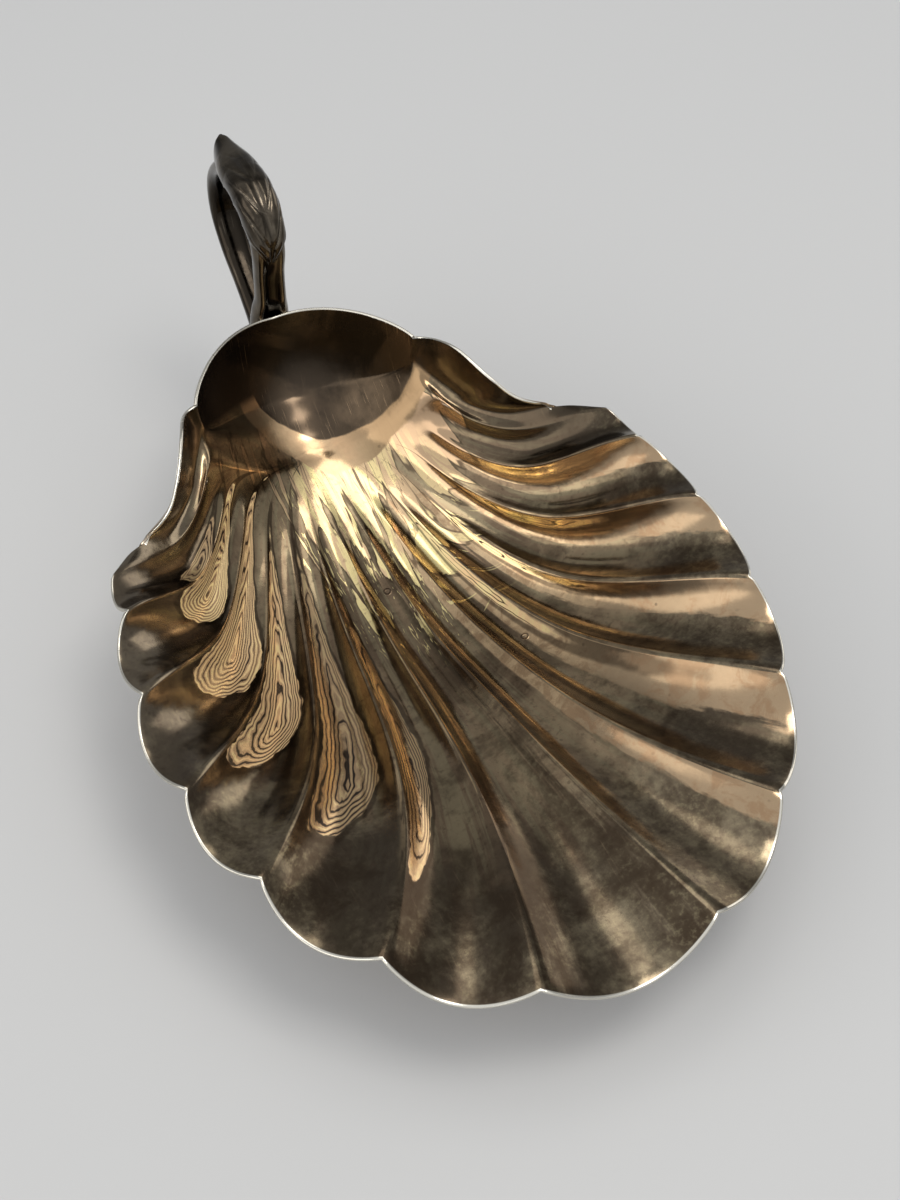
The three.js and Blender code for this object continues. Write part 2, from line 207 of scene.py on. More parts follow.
def notchPoint(i):
    turn = math.radians(notchAngles[i])
    y = shell["notchCentreY"] - shell["notchHalfLength"] * math.cos(turn)
    front = shell["notchCentreY"] - shell["notchHalfLength"] * math.cos(
        math.radians(notchAngles[0]))
    height = shell["rimRise"] * (1 - (max(0, -y) / -front) ** shell["rimRisePower"])
    return np.array([shell["notchHalfWidth"] * math.sin(turn), y, height])


def ridgeLine(i):
    s = shell
    share = (i + 0.5) / (len(notchAngles) - 0.5)
    startX = s["startHalfWidth"] * share
    bow = math.sqrt(1 - (startX / s["hoodRadius"]) ** 2)
    start = np.array([startX, s["startY"], s["hoodBrim"] - (s["hoodBrim"] - s["hoodFloor"]) * bow])
    notch = np.array(s["corner"], float) if i == len(notchAngles) - 1 else notchPoint(i)
    fan = math.radians(min(notchAngles[i], s["fanFirst"] + s["fanShare"] * notchAngles[i]))
    lean = math.radians(s["fanStart"] * share * (1 - s["fanStartOff"] * share**2))
    reach = math.hypot(*(notch - start)[:2])
    lead = start[:2] + s["leadIn"] * reach * np.array([math.sin(lean), -math.cos(lean)])
    tail = notch[:2] - s["leadOut"] * reach * np.array([math.sin(fan), -math.cos(fan)])
    t = np.linspace(0, 1, s["lineSamples"])[:, None]
    bezier = ((1 - t) ** 3 * start[:2] + 3 * (1 - t) ** 2 * t * lead
              + 3 * (1 - t) * t**2 * tail + t**3 * notch[:2])
    along = np.arange(fluteRings + 1) / fluteRings
    plan = evenly(bezier, along)
    lowest = s["deepest"] + s["lowRise"] * (
        max(0, share - s["lowKnee"]) / (1 - s["lowKnee"])) ** s["lowCurve"]
    dip = lowest + (start[2] - lowest) * (1 - along / s["lowShare"]) ** 2
    up = np.clip((along - s["lowShare"]) / (1 - s["lowShare"]), 0, 1)
    soft = up * up * (3 - 2 * up)
    early = 1 - (1 - up) ** s["lipEarly"]
    late = mix(soft, up, s["wallLine"]) ** s["wallLate"]
    climb = mix(lowest, notch[2], mix(late, early, max(0, 1 - share / s["lipSpread"])))
    height = np.where(along < s["lowShare"], dip, climb)
    turn = math.asin(min(startX / s["hoodRadius"], s["hoodSteepest"]))
    angle = turn * np.arange(hoodRings) / hoodRings
    out = (np.sin(angle) / math.sin(turn))[:, None]
    rise = (1 - np.cos(angle)) / (1 - math.cos(turn))
    hood = np.hstack([mix(pole[:2], start[:2], out), mix(pole[2], start[2], rise)[:, None]])
    return np.vstack([hood, np.hstack([plan, height[:, None]])])


def archLine(share):
    s = shell
    turn = share * math.pi / 2
    brim = np.array([
        s["archHalfWidth"] * math.cos(turn),
        s["archDepth"] * math.sin(turn) ** (2 * s["archFlank"]),
        s["rimRise"] + s["archCrown"] * math.sin(2 * turn),
    ])
    first = mix(math.radians(s["sideStart"]), math.radians(s["backStart"]), math.sin(turn))
    ring = np.arange(rings + 1)
    angle = np.where(
        ring < hoodRings, first * ring / hoodRings,
        mix(first, math.pi / 2, (ring - hoodRings) / fluteRings))[:, None]
    plan = mix(pole[:2], brim[:2], np.sin(angle))
    return np.hstack([plan, brim[2] - (brim[2] - pole[2]) * np.cos(angle)])


# The right half's columns: points, press, and the turn, across and hood values
def halfColumns():
    s = shell
    columns = []
    ridges = [ridgeLine(i) for i in range(len(notchAngles))]
    mirrored = ridges[0] * [-1, 1, 1]
    fade = np.minimum(1, flute / s["lowShare"]) ** s["fluteOnset"]
    for lobe, far in enumerate(ridges):
        near = ridges[lobe - 1] if lobe else mirrored
        count = s["lobeColumns"][lobe]
        width = lengths(near - far)
        outward = unit(np.array([far[-1, 1] - near[-1, 1], near[-1, 0] - far[-1, 0], 0]))
        for k in range(0 if lobe else count // 2, count):
            across = k / count
            arc = 4 * across * (1 - across)
            soft = math.hypot(arc, s["ridgeSoft"]) - s["ridgeSoft"]
            soft /= math.hypot(1, s["ridgeSoft"]) - s["ridgeSoft"]
            bulge = s["lobeBulge"] * width[-1] * arc ** s["lobeRoundness"]
            bulge = bulge * flute ** s["bulgeOnset"]
            points = mix(near, far, across) + outward * bulge[:, None]
            points[:, 2] += bulge * s["bulgeSlope"]
            press = s["channelDepth"] * width[:, 0] * soft * fade
            turn = abs(across - 0.5) if lobe == 0 else lobe - 0.5 + across
            side = across if lobe else 0.5 + abs(across - 0.5)
            columns.append((points, press, turn, side, 0))
    corner = ridges[-1]
    shoulder = archLine(0)
    outline = np.array([corner[-1], *s["earRim"][::-1]], float)
    edge = smoothRun(outline, np.linspace(0, 1, 2 * s["lineSamples"]), True)
    count = s["earColumns"]
    rim = evenly(edge, np.arange(count) / count)
    for k in range(count):
        across = k / count
        shift = rim[k] - mix(corner[-1], shoulder[-1], across)
        points = mix(corner, shoulder, across) + shift * flute[:, None] ** 2
        press = s["earScoop"] * math.sin(math.pi * across) * np.sin(math.pi * flute)
        columns.append((points, press, len(ridges) - 0.5 + across, 0.5, across))
    count = s["archColumns"]
    for k in range(count + 1):
        columns.append((archLine(k / count), flute * 0, len(ridges) + 0.5 + k / count, 0.5, 1))
    return columns


def gridNormals(grid):
    rounds = np.roll(grid, -1, 0) - np.roll(grid, 1, 0)
    outs = np.empty_like(grid)
    outs[:, 1:-1] = grid[:, 2:] - grid[:, :-2]
    outs[:, -1] = grid[:, -1] - grid[:, -2]
    outs[:, 0] = grid[:, 1] - grid[:, 0]
    normals = unit(np.cross(outs, rounds))
    normals[:, 0] = (0, 0, 1)
    return normals


half = halfColumns()
whole = half + [(p * [-1, 1, 1], *rest) for p, *rest in half[-2:0:-1]]
smooth = np.array([c[0] for c in whole])
press = np.array([c[1] for c in whole])
inside = smooth - gridNormals(smooth) * press[:, :, None]
ringNumbers = np.arange(rings + 1)
beyondStart = ringNumbers - hoodRings
nearStart = 1 - np.where(
    beyondStart > 0, beyondStart / shell["startSoft"], -beyondStart / hoodRings)
lowRing = hoodRings + shell["lowShare"] * fluteRings
nearLow = 1 - np.abs(ringNumbers - lowRing) / shell["lowSoft"]
easing = np.clip(np.maximum(nearStart, nearLow), 0, 1)[1:-1, None] / 2
for turn in range(shell["softRounds"]):
    inside[:, 1:-1] += easing * ((inside[:, :-2] + inside[:, 2:]) / 2 - inside[:, 1:-1])
columnCount = len(inside)
waveNumbers = np.fft.fftfreq(columnCount)
for ring in range(1, shell["turnRings"]):
    reach = shell["turnSoft"] * (1 - (ring / shell["turnRings"]) ** 2)
    keep = np.exp(-2 * (math.pi * reach * waveNumbers) ** 2)[:, None]
    inside[:, ring] = np.fft.ifft(np.fft.fft(inside[:, ring], axis=0) * keep, axis=0).real
# The floor round the pole is a smooth surface through the rings about it
near = inside[:, 1:shell["poleRings"]] - pole
terms = [(i, j) for i in (0, 2, 4) for j in range(5 - i)]


def heightTerms(spots):
    x, y = spots[..., 0] / shell["poleReach"], spots[..., 1] / shell["poleReach"]
    return np.stack([x**i * y**j for i, j in terms], -1)


rows = heightTerms(near).reshape(-1, len(terms))
fitted = np.linalg.lstsq(rows, near[:, :, 2].ravel(), rcond=None)[0]
for ring in range(shell["poleRings"]):
    share = 1 - max(0, (ring - 2) / (shell["poleRings"] - 2))
    share = share * share * (3 - 2 * share)
    height = heightTerms(inside[:, ring] - pole) @ fitted + pole[2]
    inside[:, ring, 2] = mix(inside[:, ring, 2], height, share)
pole = inside[0, 0]
insideNormals = gridNormals(inside)


# Points and faces of the sheet between two offsets from its inside face
def sheetBody(above, below, rounding, step=1):
    grid, normals = inside[::step, ::step], insideNormals[::step, ::step]
    out = unit(grid[:, -1] - grid[:, -2])
    layers = [grid[:, j] + normals[:, j] * above for j in range(1, grid.shape[1] - 1)]
    kinds = [(j, 0) for j in range(1, grid.shape[1] - 1)]
    middle, reach = (above - below) / 2, (above + below) / 2
    steps = shell["edgeSteps"] if rounding else 1
    for k in range(steps + 1):
        turn = math.pi / 2 - math.pi * k / steps
        layers.append(grid[:, -1] + normals[:, -1] * (middle + reach * math.sin(turn))
                      + out * rounding * (math.cos(turn) - 1))
        kinds.append((grid.shape[1] - 1, 1))
    layers += [grid[:, j] - normals[:, j] * below for j in range(grid.shape[1] - 2, 0, -1)]
    kinds += [(j, -1) for j in range(grid.shape[1] - 2, 0, -1)]
    points = np.vstack([*layers, [pole + [0, 0, above]], [pole - [0, 0, below]]])
    return points, ringFaces(len(layers), len(grid)), kinds


points, faces, kinds = sheetBody(0, shell["sheet"], shell["edgeRound"])
ringValues = {
    "along": [j / rings for j, side in kinds] + [0, 0],
    "flute": [float(flute[j]) for j, side in kinds] + [0, 0],
    "rim": [side == 1 for j, side in kinds] + [0, 0],
    "inner": [side >= 0 for j, side in kinds] + [1, 0],
}
columnValues = {
    "turn": [c[2] for c in whole],
    "across": [c[3] for c in whole],
    "hood": [c[4] for c in whole],
}
values = {}
for key, column in ringValues.items():
    values[key] = np.concatenate([np.repeat(column[:-2], columnCount), column[-2:]])
for key, column in columnValues.items():
    values[key] = np.concatenate([np.tile(column, len(kinds)), [0, 0]])

# Where reflections, highlights and shade are painted on the bowl, as fields over the columns
# and rings. A patch's row is its side and lobe, its tip along and across, its low end, its middle
# across, its high end, half its width, how bright it is and where it is widest.
paintedLight = {
    "glowEnds": [(-8.5, 0.13), (-7.4, 0.13), (-6.5, 0.1), (-5, 0.1), (-3.4, 0.11), (-2.4, 0.18),
                 (-1.6, 0.27), (-0.8, 0.33), (0.4, 0.34), (1.6, 0.36), (3, 0.36), (4.6, 0.33),
                 (5.6, 0.3), (6.4, 0.3), (7.2, 0.12), (7.6, 0.12), (8.5, 0.13)],
    "brightTurns": [(-8.5, 0.1), (-4, 0.1), (-2.5, 0.3), (-1.2, 0.9), (2.2, 1), (3.8, 0.4),
                    (5.4, 0)],
    "glowSoft": 0.12,
    "bandFrom": 0.6,
    "bandSoft": 0.3,
    "bandLeft": (1.7, 1.5),
    "bandRight": (5.3, 2),
    "patches": [
        (-1, 5, 0.04, 0.86, 0.56, 0.56, 0.74, 0.46, 1, 0.75),
        (-1, 4, -0.02, 0.86, 0.62, 0.54, 0.84, 0.46, 0.95, 0.75),
        (-1, 3, 0.1, 0.84, 0.6, 0.56, 0.92, 0.4, 0.75, 0.8),
        (-1, 2, 0.12, 0.82, 0.68, 0.56, 0.9, 0.36, 0.35, 0.85),
        (-1, 1, 0.2, 0.86, 0.62, 0.74, 0.94, 0.24, 0.1, 0.8),
        (-1, 6, 0.15, 0.3, 0.6, 0.14, 0.66, 0.2, 0.5, 0.7),
        (1, 2, 0.1, 0.94, 0.6, 0.88, 0.64, 0.1, 0.9, 0.35),
        (1, 3, 0.12, 0.96, 0.68, 0.9, 0.72, 0.09, 0.95, 0.35),
        (1, 4, 0.18, 0.95, 0.72, 0.88, 0.76, 0.1, 0.9, 0.45),
    ],
    "wellEdge": [(-43, 112), (-20, 112), (-15.6, 110), (-11.9, 105), (-8, 101), (-1.3, 96.6),
                 (5.4, 91.7), (12.4, 88.3), (20.2, 86.2), (28, 84), (35, 82.8), (41, 83.4),
                 (44, 86), (50, 92)],
    "sillEdge": [(-43, 112), (-24, 112), (-20, 101), (-14.5, 94.7), (-8.3, 89.5), (-3.4, 81.7),
                 (4.3, 75.5), (15.3, 75), (26, 75), (33, 76), (39, 75.5), (46, 77), (52, 84)],
    "edgeUnit": 10,
    "fan": [(20, 0), (50, 0.5), (110, 0.8)],
    "fanFrom": 70,
    "streakWidth": 4.5,
    "patchWidest": 0.4,
    "patchNarrow": 0.33,
    "patchSquare": 3,
    "patchBend": 0.8,
    "farOff": 1.5,
}


# Fields that place the painted reflections, painted highlights and painted shade
def paintedLightFields():
    s = paintedLight
    side = np.sign(smooth[:, -1, 0] + 1e-9)[:, None]
    turn = np.array(columnValues["turn"])[:, None]
    across = np.array(columnValues["across"])[:, None]
    along, run = np.arange(rings + 1)[None] / rings, flute[None]
    ends = np.interp(side * turn, *zip(*s["glowEnds"]))
    glow = (ends - along) / s["glowSoft"] + 0.5
    band = (across - s["bandFrom"]) / s["bandSoft"] + 0.5 + 0 * run
    (left, leftFade), (right, rightFade) = s["bandLeft"], s["bandRight"]
    band -= leftFade * np.clip(left - side * turn, 0, 1)
    band -= rightFade * np.clip(side * turn - right, 0, 1)
    patch, level = np.full_like(band, -s["farOff"]), np.zeros_like(band)
    for row in s["patches"]:
        way, lobe, tip, tipAcross, lowEnd, middle, highEnd, half, shine, full = row
        here = (side == way) & (np.floor(turn + 0.5) == lobe)
        share = np.clip((across - middle) / half * 0.5 + 0.5, 0, 1)
        spot = (run - tip) / (mix(lowEnd, highEnd, share) - tip)
        grown = np.clip(spot / full, 0, 1)
        centre = mix(tipAcross, middle, grown ** s["patchBend"])
        width = half * mix(s["patchNarrow"], 1, grown)
        ahead = (spot - full) / np.where(spot > full, 1 - full, full)
        square = s["patchSquare"] if way < 0 else 2
        reach = np.abs((across - centre) / width) ** square + np.abs(ahead) ** square
        inner = (1 - reach ** (1 / square)) * half / s["patchWidest"]
        better = here & (inner > patch)
        patch, level = np.where(better, inner, patch), np.where(better, shine, level)
    places = inside + shift
    deep, sill = ((places[:, :, 1] - np.interp(places[:, :, 0], *zip(*s[edge]))) / s["edgeUnit"]
                  for edge in ("wellEdge", "sillEdge"))
    bright = np.interp(side * turn, *zip(*s["brightTurns"])) + 0 * run
    fields = {"glow": glow, "band": band, "patch": patch, "level": level, "deep": deep,
              "sill": sill, "bright": bright}
    fields = {key: np.clip(field, -s["farOff"], s["farOff"]) for key, field in fields.items()}
    # The streaks run straight in the middle and fan out beyond it
    x, y = places[:, :, 0], places[:, :, 1]
    fan = np.interp(np.abs(x), *zip(*s["fan"])) * np.sign(x)
    fields["drift"] = (x - (s["fanFrom"] - y) * fan) / s["streakWidth"]
    return fields


for key, field in paintedLightFields().items():
    layers = [field[:, j] for j, side in kinds]
    values[key] = np.concatenate([*layers, [field[0, 0]] * 2])
bowl = meshFrom("bowl", place(points), faces, values)
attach(bowl, "root")
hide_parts("shell_bowl")
print("bowl made", len(bowl.data.polygons), "faces")

# A thin layer inside the sheet's metal, which cuts off what runs through the bowl
cutPoints, cutFaces = sheetBody(*shell["cutLayer"], 0, 2)[:2]
cutter = meshFrom("cutter", place(cutPoints), cutFaces)


# A closed body through sections that all have the same number of points
def loftFrom(name, sections, values):
    sections = np.asarray(sections)
    stations, count = sections.shape[:2]
    middles = sections[[0, -1]].mean(1)
    points = np.vstack([sections.reshape(-1, 3), middles])
    full = {}
    for key, value in values.items():
        value = np.broadcast_to(value, (stations, count)).reshape(-1)
        full[key] = np.concatenate([value, [value[0], value[-1]]])
    return meshFrom(name, place(points), ringFaces(stations, count, True), full)


# Cuts a body by the layer inside the bowl's sheet and keeps the piece that scores most
def cutBySheet(body, score):
    modifier = body.modifiers.new("cut", "BOOLEAN")
    modifier.operation = "DIFFERENCE"
    modifier.solver = "EXACT"
    modifier.object = cutter
    bpy.context.view_layer.update()
    evaluated = body.evaluated_get(bpy.context.evaluated_depsgraph_get())
    cut = bpy.data.meshes.new_from_object(evaluated)
    body.modifiers.clear()
    body.data = cut
    links = np.arange(len(cut.vertices))
    edges = np.array([e.vertices[:] for e in cut.edges])
    while True:
        low = np.minimum(links[edges[:, 0]], links[edges[:, 1]])
        fresh = links.copy()
        np.minimum.at(fresh, edges[:, 0], low)
        np.minimum.at(fresh, edges[:, 1], low)
        fresh = fresh[fresh]
        if (fresh == links).all():
            break
        links = fresh
    spots = np.array([v.co[:] for v in cut.vertices])
    kept = max(set(links.tolist()), key=lambda island: score(spots[links == island]))
    edit = bmesh.new()
    edit.from_mesh(cut)
    edit.verts.ensure_lookup_table()
    gone = [edit.verts[int(i)] for i in np.flatnonzero(links != kept)]
    bmesh.ops.delete(edit, geom=gone, context="VERTS")
    edit.to_mesh(cut)
    edit.free()
    return body


# The handle: a cast bar bent to a loop. A row of its run is y, z, width and thickness.
handle = {
    "run": [
        (30, 14, 13, 9), (36.8, 20, 15.4, 9.5), (36.2, 28.5, 14.2, 9), (34.4, 36, 12, 9),
        (34, 47.5, 11.8, 8.4), (32.8, 60, 12.6, 8.8), (37.5, 71.6, 12, 8.6),
        (47.7, 77.4, 12.6, 8), (59.4, 76.7, 12.8, 7.4), (70.9, 70.7, 12.6, 7),
        (78.8, 59, 12.2, 6.7), (79, 45, 11.8, 6.5), (71, 33.2, 11.2, 6.5),
        (59, 23.8, 10.4, 6.5), (47.4, 15.2, 10.6, 7), (37, 6.9, 12, 9), (27.2, -0.3, 14, 12),
    ],
    "squareness": 0.8,
    "stations": 208,
    "sides": 56,
    "grooveDepth": 2.8,
    "grooveShare": 0.52,
    "grooveEnd": 0.4,
    "grooveFade": 0.2,
}


# Middle points, outward directions and sizes of a run in the plane x = 0
def runFrames(rows, shares):
    path = [(y, z) for y, z, *sizes in rows]
    middles = smoothRun(path, shares, True)
    nudge = 1e-4
    ahead = unit(smoothRun(path, np.minimum(1, shares + nudge), True)
                 - smoothRun(path, np.maximum(0, shares - nudge), True))
    sizes = smoothRun([row[2:] for row in rows], shares, False)
    flat = np.zeros((len(shares), 1))
    outward = np.hstack([flat, -ahead[:, 1:], ahead[:, :1]])
    return np.hstack([flat, middles]), outward, sizes


def buildHandle():
    s = handle
    shares = np.linspace(0, 1, s["stations"] + 1)
    middles, outward, sizes = runFrames(s["run"], shares)
    turns = np.linspace(0, 2 * math.pi, s["sides"], endpoint=False)
    across = power(np.cos(turns), s["squareness"])
    out = power(np.sin(turns), s["squareness"])
    fade = np.clip((s["grooveEnd"] - shares) / s["grooveFade"], 0, 1)
    channel = np.where(out > 0, np.exp(-np.abs(across / s["grooveShare"]) ** 4), 0)
    groove = s["grooveDepth"] * fade[:, None] * channel
    lift = sizes[:, 1:] / 2 * out - groove
    sections = middles[:, None] + outward[:, None] * lift[:, :, None]
    sections[:, :, 0] += sizes[:, :1] / 2 * across
    # Tarnish kept in the channel, and painted shade on the side that faces the gap
    tarnishAndShade = np.maximum(groove / s["grooveDepth"], np.clip(0.45 - 0.5 * out, 0.3, 0.9))
    return loftFrom("handle", sections, {"along": shares[:, None], "hollow": tarnishAndShade})


loop = cutBySheet(buildHandle(), lambda spots: np.ptp(spots, axis=0).prod())
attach(loop, "root")
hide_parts("handle_loop")
print("handle made", len(loop.data.polygons), "faces")

# The leaf over the handle's front and crest. A row of its run is y, z, half width and depth.
leaf = {
    "run": [
        (31.6, 51.5, 0.6, 2.5), (28.2, 58, 3.8, 4.2), (26.8, 65, 6.6, 7), (29.8, 73, 7.4, 8.6),
        (35.5, 79.2, 7.8, 8.8), (43.5, 82.6, 7.9, 8.6), (52, 83.2, 7.8, 8.4),
        (60, 82.6, 7.4, 8.4), (66.5, 82, 6.4, 9), (72, 81.6, 4.8, 9.4), (74.8, 81.6, 3.4, 7),
        (76.2, 81.4, 1.2, 3),
    ],
    "stations": 160,
    "sides": 60,
    "veins": 6.5,
    "slant": 2,
    "middleVein": 0.1,
    "foldDepth": 1.6,
    "foldEnd": 0.72,
    "lobes": 5,
    "lobeDepth": 0.16,
    "squareness": 0.74,
    "full": 4,
}


def buildLeaf():
    s = leaf
    shares = np.linspace(0, 1, s["stations"] + 1)
    middles, outward, sizes = runFrames(s["run"], shares)
    half, deep = sizes[:, :1], sizes[:, 1:]
    fade = np.clip(1 - shares / s["foldEnd"], 0, 1)[:, None]
    edge = np.minimum(1, shares / s["foldEnd"])[:, None]
    lobe = 1 - s["lobeDepth"] * np.sqrt(np.abs(np.sin(math.pi * s["lobes"] * edge)))
    q = np.linspace(1, -1, s["sides"] + 1)
    turn = q * math.pi / 2
    # Veins that run out and up from the middle one
    vein = s["veins"] * shares[:, None] - s["slant"] * np.abs(q)
    crease = np.abs(2 * (vein - np.floor(vein)) - 1) ** 4
    crease = np.maximum(crease, np.clip(1 - np.abs(q) / s["middleVein"], 0, 1))
    rounding = np.maximum(0, np.cos(turn))
    fold = s["foldDepth"] * crease * fade * np.minimum(1, half / s["full"]) * np.sqrt(rounding)
    lift = -deep * lobe * (1 - rounding ** s["squareness"]) - fold
    skin = middles[:, None] + outward[:, None] * lift[:, :, None]
    skin[:, :, 0] += half * power(np.sin(turn), s["squareness"])
    low = middles - outward * deep * lobe
    chord = np.repeat(low[:, None], 3, 1)
    chord[:, :, 0] += half * np.array([-0.5, 0, 0.5])
    sections = np.concatenate([skin, chord], 1)
    folds = np.concatenate([crease * fade, np.zeros((len(shares), 3))], 1)
    return loftFrom("leaf", sections, {"along": shares[:, None], "hollow": folds})


foliage = buildLeaf()
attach(foliage, "root")
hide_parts("handle_leaf")
print("leaf made", len(foliage.data.polygons), "faces")

# The feet: a ball under a neck that spreads to meet the bowl
foot = {
    "places": {"foot_rear": (0, -46), "foot_left": (-41, -118), "foot_right": (41, -118)},
    "floor": -48,
    "ball": 6,
    "rest": 2.2,
    "neck": 2.8,
    "spread": 8.5,
    "sink": 2.5,
    "sides": 64,
    "ballRings": 33,
    "neckRings": 20,
    "flatStart": 0.3,
    "flatEdge": 0.2,
    "wornHeight": 2,
}


def undersideAt(x, y):
    flat = inside.reshape(-1, 3)
    return flat[np.argmin(np.hypot(flat[:, 0] - x, flat[:, 1] - y)), 2] - shell["sheet"]


def buildFoot(name, x, y):
    s = foot
    centre = s["floor"] + math.sqrt(s["ball"] ** 2 - s["rest"] ** 2)
    lowTurn, highTurn = (math.acos(s[end] / s["ball"]) for end in ("rest", "neck"))
    turns = np.linspace(-lowTurn, highTurn, s["ballRings"])
    ball = np.stack([s["ball"] * np.cos(turns), centre + s["ball"] * np.sin(turns)], 1)
    brim = undersideAt(x, y) + s["sink"]
    up = np.linspace(0, 1, s["neckRings"] + 1)[1:]
    spread = np.stack([mix(s["neck"], s["spread"], up**2), mix(ball[-1, 1], brim, up)], 1)
    flat = [[s["flatStart"], s["floor"]], [s["rest"] - s["flatEdge"], s["floor"]]]
    profile = np.vstack([flat, ball, spread, [[s["spread"], brim + s["spread"]]]])
    turns = np.linspace(0, 2 * math.pi, s["sides"], endpoint=False)
    sections = np.stack([
        x + profile[:, :1] * np.cos(turns),
        y + profile[:, :1] * np.sin(turns),
        np.repeat(profile[:, 1:], s["sides"], 1),
    ], 2)
    rubbedAndSheen = np.clip(1 - (profile[:, 1:] - s["floor"]) / s["wornHeight"], 0, 1)
    made = loftFrom(name + "_look", sections, {"rubbedAndSheen": rubbedAndSheen})
    return cutBySheet(made, lambda spots: -spots[:, 2].min())


feet = {}
for name, (x, y) in foot["places"].items():
    feet[name] = buildFoot(name, x, y)
    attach(feet[name], "root")
    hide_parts(name)
bpy.data.objects.remove(cutter)
print("feet made")


# Shader helpers
class Wiring:
    def __init__(self, tree):
        self.tree = tree

    def add(self, kind, inputs=None, **settings):
        node = self.tree.nodes.new("ShaderNode" + kind)
        for key, value in settings.items():
            setattr(node, key, value)
        for key, value in (inputs or {}).items():
            self.feed(node.inputs[key], value)
        return node

    def feed(self, socket, value):
        if isinstance(value, bpy.types.NodeSocket):
            self.tree.links.new(value, socket)
        else:
            socket.default_value = value

    def math(self, operation, a, b=0.0):
        return self.add("Math", {0: a, 1: b}, operation=operation).outputs[0]

    def times(self, *values):
        made = values[0]
        for value in values[1:]:
            made = self.math("MULTIPLY", made, value)
        return made

    def ramp(self, value, low, high, start=0.0, end=1.0):
        inputs = {"Value": value, "From Min": low, "From Max": high, "To Min": start, "To Max": end}
        return self.add("MapRange", inputs, interpolation_type="SMOOTHSTEP").outputs["Result"]

    def fall(self, value, low, high):  # 1 below, 0 above
        return self.ramp(value, low, high, 1.0, 0.0)

    def hump(self, value, low, lowFull, highFull, high):  # 1 between the full values
        return self.times(self.ramp(value, low, lowFull), self.fall(value, highFull, high))

    def uneven(self, value, noise, reach):  # moves a value by a noise about its middle
        return self.math("ADD", value, self.times(self.math("SUBTRACT", noise, 0.5), reach))

    def blend(self, share, a, b):
        return self.add("Mix", {0: share, 6: a, 7: b}, data_type="RGBA").outputs[2]

    def lay(self, colour, tint, *shares):  # a tint over a colour, by the shares' product
        return self.blend(self.times(*shares), colour, tint)

    def group(self, name, **values):
        return self.add("Group", values, node_tree=bpy.data.node_groups[name]).outputs

    def noise(self, vector, scale, detail=4.0, roughness=0.55, distortion=0.0):
        inputs = {"Vector": vector, "Scale": scale, "Detail": detail, "Roughness": roughness,
                  "Distortion": distortion}
        return self.add("TexNoise", inputs).outputs["Fac"]

    def attribute(self, name):
        return self.add("Attribute", attribute_name=name).outputs["Fac"]

    def vector(self, x, y, z):
        return self.add("CombineXYZ", {0: x, 1: y, 2: z}).outputs[0]

    def stretched(self, vector, scale, turn):
        inputs = {"Vector": vector, "Rotation": (0, 0, math.radians(turn)), "Scale": scale}
        return self.add("Mapping", inputs).outputs[0]

    def bump(self, height, strength, distance, normal=None):
        inputs = {"Height": height, "Strength": strength, "Distance": distance}
        if normal:
            inputs["Normal"] = normal
        return self.add("Bump", inputs).outputs[0]


def rgb(*parts):
    return (*parts, 1.0)


# A node group that takes a vector and numbers and gives numbers: its wiring and its two ends
def newGroup(name, inputs, outputs):
    tree = bpy.data.node_groups.new(name, "ShaderNodeTree")
    for way, titles in (("INPUT", ["Vector", *inputs]), ("OUTPUT", outputs)):
        for title in titles:
            kind = "Vector" if title == "Vector" else "Float"
            tree.interface.new_socket(title, in_out=way, socket_type="NodeSocket" + kind)
    start, end = (tree.nodes.new("NodeGroup" + kind) for kind in ("Input", "Output"))
    return Wiring(tree), start.outputs, end.inputs


# Cloudy tarnish: soft blotches, finer mottling and small dark spots
tarnishLook = {"mottle": 11.0, "spots": 14.0, "spotGroups": 4.0, "spotEdge": (0.1, 0.2)}


def tarnishGroup():
    w, start, end = newGroup("tarnish", ["Scale"], ["Cloud", "Mottle", "Spots"])
    vector, scale = start["Vector"], start["Scale"]
    w.feed(end["Cloud"], w.ramp(w.noise(vector, scale, 7, 0.62, 0.6), 0.34, 0.68))
    fine = w.times(scale, tarnishLook["mottle"])
    w.feed(end["Mottle"], w.ramp(w.noise(vector, fine, 6, 0.7), 0.3, 0.7))
    cells = w.add("TexVoronoi", {"Vector": vector, "Scale": w.times(scale, tarnishLook["spots"])})
    spot = w.fall(cells.outputs["Distance"], *tarnishLook["spotEdge"])
    grouped = w.ramp(w.noise(vector, w.times(scale, tarnishLook["spotGroups"]), 2), 0.55, 0.7)
    w.feed(end["Spots"], w.times(spot, grouped))


# Fine scratches that cross each other, as wiping leaves them
scratchLook = {
    "turns": (12, 68, -35, -80),
    "across": 2600.0,
    "along": 60.0,
    "edge": (0.68, 0.74),
}


def scratchGroup():
    w, start, end = newGroup("scratches", ["Where"], ["Lines"])
    lines = None
    for turn in scratchLook["turns"]:
        scale = (scratchLook["across"], scratchLook["along"], scratchLook["along"])
        noise = w.noise(w.stretched(start["Vector"], scale, turn), 1, 2, 0.5, 0.3)
        line = w.ramp(noise, *scratchLook["edge"])
        lines = line if lines is None else w.math("MAXIMUM", lines, line)
    w.feed(end["Lines"], w.times(lines, start["Where"]))


# Unevenness of hand-finished metal, which bends what it mirrors
waveLook = {"broad": 70.0, "fine": 420.0, "fineShare": 0.12}


def waveGroup():
    w, start, end = newGroup("waves", [], ["Height"])
    broad = w.noise(start["Vector"], waveLook["broad"], 2, 0.5)
    fine = w.times(w.noise(start["Vector"], waveLook["fine"], 3, 0.5), waveLook["fineShare"])
    w.feed(end["Height"], w.math("ADD", broad, fine))


tarnishGroup()
scratchGroup()
waveGroup()


def newMaterial(name):
    made = bpy.data.materials.new(name)
    made.use_nodes = True
    made.node_tree.nodes.clear()
    wiring = Wiring(made.node_tree)
    shader = wiring.add("BsdfPrincipled")
    output = wiring.add("OutputMaterial")
    made.node_tree.links.new(shader.outputs[0], output.inputs[0])
    return made, wiring, shader
